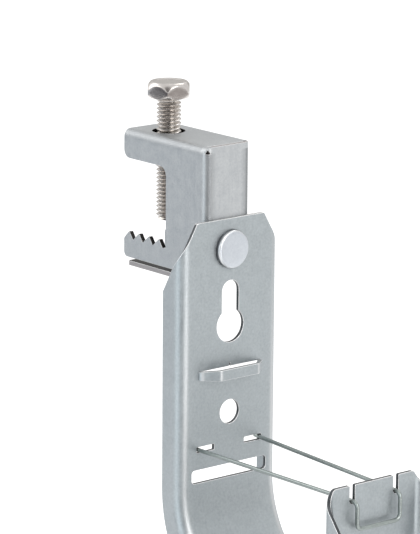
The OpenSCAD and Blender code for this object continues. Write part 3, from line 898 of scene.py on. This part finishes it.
# Swivel rivet
# Zinc-plated steel rivet with a flat head in front of the hook's plate. Its shank is upset behind the
# clamp's web, so it turns with the clamp while the hook swings on it.
rivet_face_r = 4.7
rivet_head_high = 1.3
rivet_shank_r = 2.5
rivet_tail_r = 3.75
rivet_tail_high = 1.2
plate_y = -23.6
hook_sheet = 1.0
plate_gap = 0.1
rivet_play = 0.05
rivet_steps = 72
rivet_grip = hook_sheet + plate_gap + clamp_sheet + rivet_play
rivet_low = -rivet_head_high
rivet_end = rivet_grip + rivet_tail_high
# Radius and height of each ring, and its mark: the head's rim has a painted highlight and its side a
# painted shade
rivet_shape = [
    (0.0, rivet_low, 0.0), (2.6, rivet_low, 0.0), (rivet_face_r - 0.62, rivet_low + 0.01, 0.0),
    (rivet_face_r - 0.42, rivet_low + 0.06, 0.1), (rivet_face_r - 0.24, rivet_low + 0.17, 0.4),
    (rivet_face_r - 0.10, rivet_low + 0.36, 0.65), (rivet_face_r - 0.02, rivet_low + 0.6, 0.9),
    (rivet_face_r, -0.4, 1.0), (rivet_face_r - 0.04, -0.1, 1.0), (rivet_face_r - 0.16, 0.0, 1.0),
    (rivet_shank_r, 0.0, 0.0), (rivet_shank_r, rivet_grip, 0.0), (rivet_tail_r - 0.2, rivet_grip, 0.0),
    (rivet_tail_r, rivet_grip + 0.2, 0.0), (rivet_tail_r, rivet_grip + 0.6, 0.0),
    (rivet_tail_r - 0.25, rivet_grip + 1.0, 0.0), (rivet_tail_r - 0.7, rivet_end, 0.0),
    (1.4, rivet_end - 0.05, 0.0), (0.0, rivet_end - 0.1, 0.0)]
rivet_points, rivet_faces = turned([(r, h) for r, h, mark in rivet_shape], rivet_steps)
rivet_points = [(x, plate_y - rivet_play + h, -y) for x, y, h in rivet_points]
rivet_piece = make_piece("rivet", rivet_points, rivet_faces,
                         marks=[mark for r, h, mark in rivet_shape] * rivet_steps)
tidy_mesh(rivet_piece, sharp=40)
# The rim tint is the painted highlight and the dark wall tint the painted shade of the head's side.
rivet_finish = coated_steel("rivet_zinc", pale=(0.565, 0.595, 0.63), dark=(0.49, 0.52, 0.56),
                            rim=(0.66, 0.67, 0.68), wall=(0.12, 0.125, 0.135), smooth=0.3, rough=0.42,
                            lines=0.0, cloud=500.0)
rivet_piece.data.materials.append(rivet_finish)
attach(rivet_piece, "clamp")
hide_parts("swivel_rivet")

# Hook
# One strip of galvanised steel sheet. Its long edges are bent back into flanges, and it is rolled round a
# saddle and up into a lip. The plate is pierced, and one strap of it is pushed out to the front. The bends
# carry a painted highlight.
hook_wide = 31.0
hook_bend = 3.0
flange_deep = 6.7
saddle_r = 25.4
plate_top_z = 7.45
saddle_z = -58.0
lip_high = 12.7
top_edge_half = 10.4
shoulder_slope = math.tan(math.radians(60))
lip_edge_half = 12.4
lip_slope = math.tan(math.radians(52))
strip_corner = 0.8
lip_corner = 1.5
hook_rim = 0.14
pivot_hole_r = 2.55
keyhole_top = 7.7
keyhole_half = 2.6
keyhole_low = 18.8
keyhole_r = 4.15
strap_top = 28.9
strap_high = 2.1
strap_half = 9.5
strap_crest = 5.8
strap_out = 4.0
strap_step = 0.95
strap_rise = 0.55
strap_rim = 0.1
strap_hole_corner = 0.3
strap_lap = 0.03
nick_half = 0.3
nick_tip_half = 0.12
nick_high = 0.8
nick_r = 0.05
round_hole_z = 40.2
round_hole_r = 3.0
slot_z = 48.2
slot_high = 1.4
slot_near = 4.7
slot_long = 5.45
slot_corner = 0.25
window_top = 53.2
window_high = 3.3
window_half = 11.65
window_corner = 0.9
wire_r = 0.5
wire_play = 0.15
wire_lean = math.tan(math.radians(3))
notch_floor = 8.3
notch_r = wire_r + 0.3
notch_mouth_r = 0.3
notch_floor_r = notch_r - 0.02

hook_flat = hook_wide / 2 - hook_bend
hook_mid = hook_bend - hook_sheet / 2
hook_arc = hook_mid * math.pi / 2
flange_u = hook_flat + hook_arc + flange_deep - hook_bend
saddle_y = plate_y - saddle_r
plate_long = plate_top_z - saddle_z
saddle_long = math.pi * saddle_r
strip_long = plate_long + saddle_long + lip_high


def down(z):
    """Place along the strip of a height of the plate below the rivet."""
    return plate_top_z + z


def fold_hook(points):
    """Bends the hook's strip: u runs across it, v down from its top edge and w into it, from its front."""
    u, v, w = points.T
    away = np.abs(u)
    turn = np.clip((away - hook_flat) / hook_mid, 0, math.pi / 2)
    reach = hook_bend - w
    x = np.sign(u) * (np.minimum(away, hook_flat) + reach * np.sin(turn))
    deep = hook_bend - reach * np.cos(turn) + np.maximum(away - hook_flat - hook_arc, 0)
    swing = np.clip((v - plate_long) / saddle_r, 0, math.pi)
    y = saddle_y + (saddle_r + deep) * np.cos(swing)
    z = (saddle_z - (saddle_r + deep) * np.sin(swing) + np.maximum(plate_long - v, 0)
         + np.maximum(v - plate_long - saddle_long, 0))
    return np.stack([x, y, z], axis=1)


notch_x = slot_near + slot_long - wire_play - wire_r - (saddle_r * 2 + hook_sheet) * wire_lean
notch_v = strip_long - (lip_high - notch_floor)
top_drop = (flange_u - top_edge_half) * shoulder_slope
lip_drop = (flange_u - lip_edge_half) * lip_slope
hook_outline = rounded(
    [(-top_edge_half, 0, strip_corner), (-flange_u, top_drop, strip_corner),
     (-flange_u, strip_long - lip_drop, strip_corner), (-lip_edge_half, strip_long, lip_corner)]
    + [(s * notch_x + t * notch_r, v, r) for s in (-1, 1)
       for t, v, r in ((-1, strip_long, notch_mouth_r), (-1, notch_v, notch_floor_r),
                       (1, notch_v, notch_floor_r), (1, strip_long, notch_mouth_r))]
    + [(lip_edge_half, strip_long, lip_corner), (flange_u, strip_long - lip_drop, strip_corner),
       (flange_u, top_drop, strip_corner), (top_edge_half, 0, strip_corner)])


def keyhole(top_steps=12, round_steps=36):
    """Round hole with a narrow upper part that ends in a half circle."""
    join = math.acos(keyhole_half / keyhole_r)
    path = []
    for k in range(top_steps + 1):
        a = math.pi * k / top_steps
        path.append((keyhole_half * math.cos(a), down(keyhole_top + keyhole_half * (1 - math.sin(a)))))
    for k in range(round_steps + 1):
        a = math.pi - join + (math.pi + 2 * join) * k / round_steps
        path.append((keyhole_r * math.cos(a), down(keyhole_low - keyhole_r * math.sin(a))))
    return path


def box_hole(left, right, top, low, r):
    """Four-sided hole with rounded corners."""
    return rounded([(left, down(top), r), (right, down(top), r),
                    (right, down(low), r), (left, down(low), r)], steps=5)


nick_top = down(strap_top - nick_high)
slit_nick = [(-nick_half, down(strap_top), 0), (-nick_tip_half, nick_top, nick_r),
             (nick_tip_half, nick_top, nick_r), (nick_half, down(strap_top), 0)]
strap_hole = rounded([(-strap_half, down(strap_top), strap_hole_corner)] + slit_nick
                     + [(strap_half, down(strap_top), strap_hole_corner),
                        (strap_half, down(strap_top + strap_high), strap_hole_corner),
                        (-strap_half, down(strap_top + strap_high), strap_hole_corner)], steps=4)
slot_top, slot_low = slot_z - slot_high / 2, slot_z + slot_high / 2
hook_holes = [
    round_hole(0.0, down(0.0), pivot_hole_r), keyhole(), strap_hole,
    round_hole(0.0, down(round_hole_z), round_hole_r),
    box_hole(-slot_near - slot_long, -slot_near, slot_top, slot_low, slot_corner),
    box_hole(slot_near, slot_near + slot_long, slot_top, slot_low, slot_corner),
    box_hole(-window_half, window_half, window_top, window_top + window_high, window_corner)]
flange_lines = (1.2, 2.5)
hook_columns = (bend_lines(-hook_flat, 2 * hook_flat, 14)
                + [s * c for s in (-1, 1) for c in bend_lines(hook_flat, hook_arc, 10)[1:]]
                + [s * (hook_flat + hook_arc + c) for s in (-1, 1) for c in flange_lines])
hook_rows = (bend_lines(0, plate_long, 38)[:-1] + bend_lines(plate_long, saddle_long, 64)
             + bend_lines(plate_long + saddle_long, lip_high, 8)[1:])
hook_blank = cut_blank(hook_outline, hook_holes, hook_sheet, hook_rim, hook_columns, hook_rows)

# A painted highlight lies on the front of the upright bends, stronger further down, and a little on the
# flanges.
highlight_middle, highlight_wide = 0.87, 0.55
highlight_from, highlight_to = (5.0, 0.06), (42.0, 0.27)
flange_highlight, flange_highlight_from = 0.08, 0.6
top_edge_deep, top_edge_light_mark = 0.2, 0.7
hook_marks = np.array(hook_blank[3])
u, v, w = hook_blank[0].T
# The top edge's cut wall, which faces up, is painted lighter: a painted highlight.
on_top_edge = v < top_edge_deep
hook_marks[on_top_edge] = np.minimum(hook_marks[on_top_edge], top_edge_light_mark)
past_flat = np.abs(u) - hook_flat
painted_highlight = (bell(past_flat, highlight_middle, highlight_wide)
          * np.interp(v, [down(highlight_from[0]), down(highlight_to[0])], [highlight_from[1], highlight_to[1]])
          + flange_highlight * np.clip((past_flat / hook_arc - flange_highlight_from) / (1 - flange_highlight_from), 0, 1))
on_front = (w < 0.01) & (hook_marks < 0.1)
hook_marks[on_front] = painted_highlight[on_front]
hook_piece = bend_blank("hook_sheet", hook_blank[:3] + (hook_marks,), fold_hook)

# The strap starts and ends a little inside the plate, steps out and then rises to its flat crest.
strap_side = [(strap_half + 0.3, 0.0, 0), (strap_half - 0.05, 0.0, 0.5),
              (strap_half - 0.3, strap_step, 0.55), (strap_crest, strap_out, 0.9)]
strap_line = rounded([(-x, hook_sheet / 2 - out, r) for x, out, r in strap_side]
                     + [(x, hook_sheet / 2 - out, r) for x, out, r in reversed(strap_side)])
strap_steps = np.cumsum([0.0] + [math.dist(a, b) for a, b in zip(strap_line, strap_line[1:])])
strap_low = -strap_top - strap_high


def fold_strap(points, look=0.15):
    """Carries the strap's blank along its line, seen from above. It draws the front's upper edge up."""
    s, v, w = points.T
    line = np.array(strap_line)

    def along(s):
        return np.stack([np.interp(s, strap_steps, line[:, k]) for k in (0, 1)])

    x, y = along(s)
    tx, ty = along(s + look) - along(s - look)
    size = np.hypot(tx, ty)
    offset = w - hook_sheet / 2
    drawn_up = strap_rise * np.clip((hook_sheet / 2 - y) / strap_out, 0, 1) * (v - strap_low) / strap_high
    return np.stack([x - ty / size * offset, plate_y + y + tx / size * offset, v + drawn_up], axis=1)


strap_end = strap_steps[-1]
strap_blank = cut_blank([(0.0, strap_low + strap_lap), (strap_end, strap_low + strap_lap),
                         (strap_end, -strap_top - strap_lap), (0.0, -strap_top - strap_lap)], [],
                        hook_sheet, strap_rim, list(np.arange(0.2, strap_end, 0.25)),
                        bend_lines(strap_low, strap_high, 4)[1:-1])
# The strap's cut walls are painted lighter than the plate's: a painted highlight.
strap_edge_light_mark = 0.72
strap_highlight, strap_highlight_wide = 0.3, 0.3
strap_marks = np.minimum(strap_blank[3], strap_edge_light_mark)
strap_x = np.abs(fold_strap(strap_blank[0])[:, 0])
# The strap's two bends carry a painted glint on the front.
on_front = (strap_blank[0][:, 2] < 0.01) & (strap_marks < 0.1)
painted_highlight = strap_highlight * (bell(strap_x, strap_crest, strap_highlight_wide)
                      + bell(strap_x, strap_half - 0.2, strap_highlight_wide))
strap_marks[on_front] = painted_highlight[on_front]
strap_piece = bend_blank("hook_strap", strap_blank[:3] + (strap_marks,), fold_strap)

# The rim tint gives the painted highlights, and the dark cut wall tint is bare steel, partly painted shade.
hook_finish = coated_steel("hook_galvanised", pale=(0.408, 0.440, 0.455), dark=(0.312, 0.343, 0.358),
                           rim=(0.72, 0.72, 0.72), wall=(0.062, 0.067, 0.072), smooth=0.40, rough=0.52,
                           lines=0.08)
for piece in (hook_piece, strap_piece):
    piece.data.materials.append(hook_finish)
    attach(piece, "hook")
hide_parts("hook_body")
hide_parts("hook_body")

# Wire retainer
# One length of bent spring wire that keeps the cables in. Its legs pass through the plate's two slots and
# are turned outwards behind it. They rest in the lip's notches and are joined by a bar in front of the lip.
wire_bend = 1.5
wire_bend_steps = 10
wire_tail = 2.4
wire_tail_half_turn = math.radians(43.5)
wire_drop = 6.5
wire_step = 3.0
wire_sides = 20
wire_end_rings = ((0.2, 0.0), (0.42, 0.03), (0.5, 0.12))
hinge_y = plate_y + hook_sheet / 2
hinge_z = -slot_z
lip_y = saddle_y - saddle_r
front_y = lip_y - hook_sheet - wire_play - wire_bend
tail_y = plate_y + hook_sheet + wire_play + wire_bend * math.tan(wire_tail_half_turn)
hinge_x = slot_near + slot_long - wire_play - wire_r
rest_z = saddle_z + notch_floor + wire_play + wire_r
rise = (hinge_z - rest_z) / (hinge_y - lip_y)


def leg_point(y, drop=0.0):
    """Point of the right leg's middle line, or one straight below it."""
    return Vector((hinge_x + (y - hinge_y) * wire_lean, y, hinge_z + (y - hinge_y) * rise - drop))


front, tail = leg_point(front_y), leg_point(tail_y)
tail_tip = tail + Vector((wire_bend + wire_tail, 0.0, 0.0))
half_path = [leg_point(front_y, wire_drop), front, tail, tail_tip]
corners = [Vector((-p.x, p.y, p.z)) for p in reversed(half_path)] + half_path
wire_line = [corners[0]]
for before, here, after in zip(corners, corners[1:], corners[2:]):
    centre, first, last = round_off(before, here, after, wire_bend)
    sweep = first.angle(last)
    for k in range(wire_bend_steps + 1):
        t = k / wire_bend_steps
        way = (first * math.sin((1 - t) * sweep) + last * math.sin(t * sweep)) / math.sin(sweep)
        wire_line.append(centre + way)
wire_line.append(corners[-1])
long_line = [wire_line[0]]
for a, b in zip(wire_line, wire_line[1:]):
    parts = max(1, math.ceil((b - a).length / wire_step))
    long_line += [a.lerp(b, k / parts) for k in range(1, parts + 1)]
wire_line = long_line

wire_points, wire_faces = [], []
ways = [(b - a).normalized() for a, b in zip(wire_line, wire_line[1:])]
tangents = [ways[0]] + [(a + b).normalized() for a, b in zip(ways, ways[1:])] + [ways[-1]]
rings = ([(wire_line[0] + tangents[0] * d, r) for r, d in wire_end_rings]
         + [(p, wire_r) for p in wire_line[1:-1]]
         + [(wire_line[-1] - tangents[-1] * d, r) for r, d in reversed(wire_end_rings)])
ring_ways = ([tangents[0]] * len(wire_end_rings) + tangents[1:-1]
             + [tangents[-1]] * len(wire_end_rings))
normal = tangents[0].orthogonal().normalized()
for (place, r), tangent in zip(rings, ring_ways):
    normal = (normal - tangent * normal.dot(tangent)).normalized()
    other = tangent.cross(normal)
    wire_points += [tuple(place + (normal * math.cos(a) + other * math.sin(a)) * r)
                    for a in (2 * math.pi * k / wire_sides for k in range(wire_sides))]
for k in range(len(rings) - 1):
    a, b = k * wire_sides, (k + 1) * wire_sides
    wire_faces += [(a + i, a + (i + 1) % wire_sides, b + (i + 1) % wire_sides, b + i)
                   for i in range(wire_sides)]
wire_faces += [tuple(reversed(range(wire_sides))),
               tuple(range((len(rings) - 1) * wire_sides, len(rings) * wire_sides))]
wire_piece = make_piece("retainer_wire", wire_points, wire_faces, sharp=50)
wire_finish = coated_steel("wire_zinc", pale=(0.33, 0.362, 0.352), dark=(0.24, 0.27, 0.26),
                           rim=(0.33, 0.35, 0.34), wall=(0.33, 0.35, 0.34), smooth=0.28, rough=0.4,
                           lines=0.0, cloud=600.0, bump=0.02)
wire_piece.data.materials.append(wire_finish)
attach(wire_piece, "retainer")
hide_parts("wire_retainer")

# The two strongest lamps light only the zinc-coated pieces, because the bright screw would glare in them.
zinc_pieces = bpy.data.collections.new("zinc_pieces")
for piece in (clamp_piece, corner_piece, collar_piece, rivet_piece, hook_piece, strap_piece, wire_piece):
    zinc_pieces.objects.link(piece)
for lamp in (front_lamp, left_lamp):
    lamp.light_linking.receiver_collection = zinc_pieces
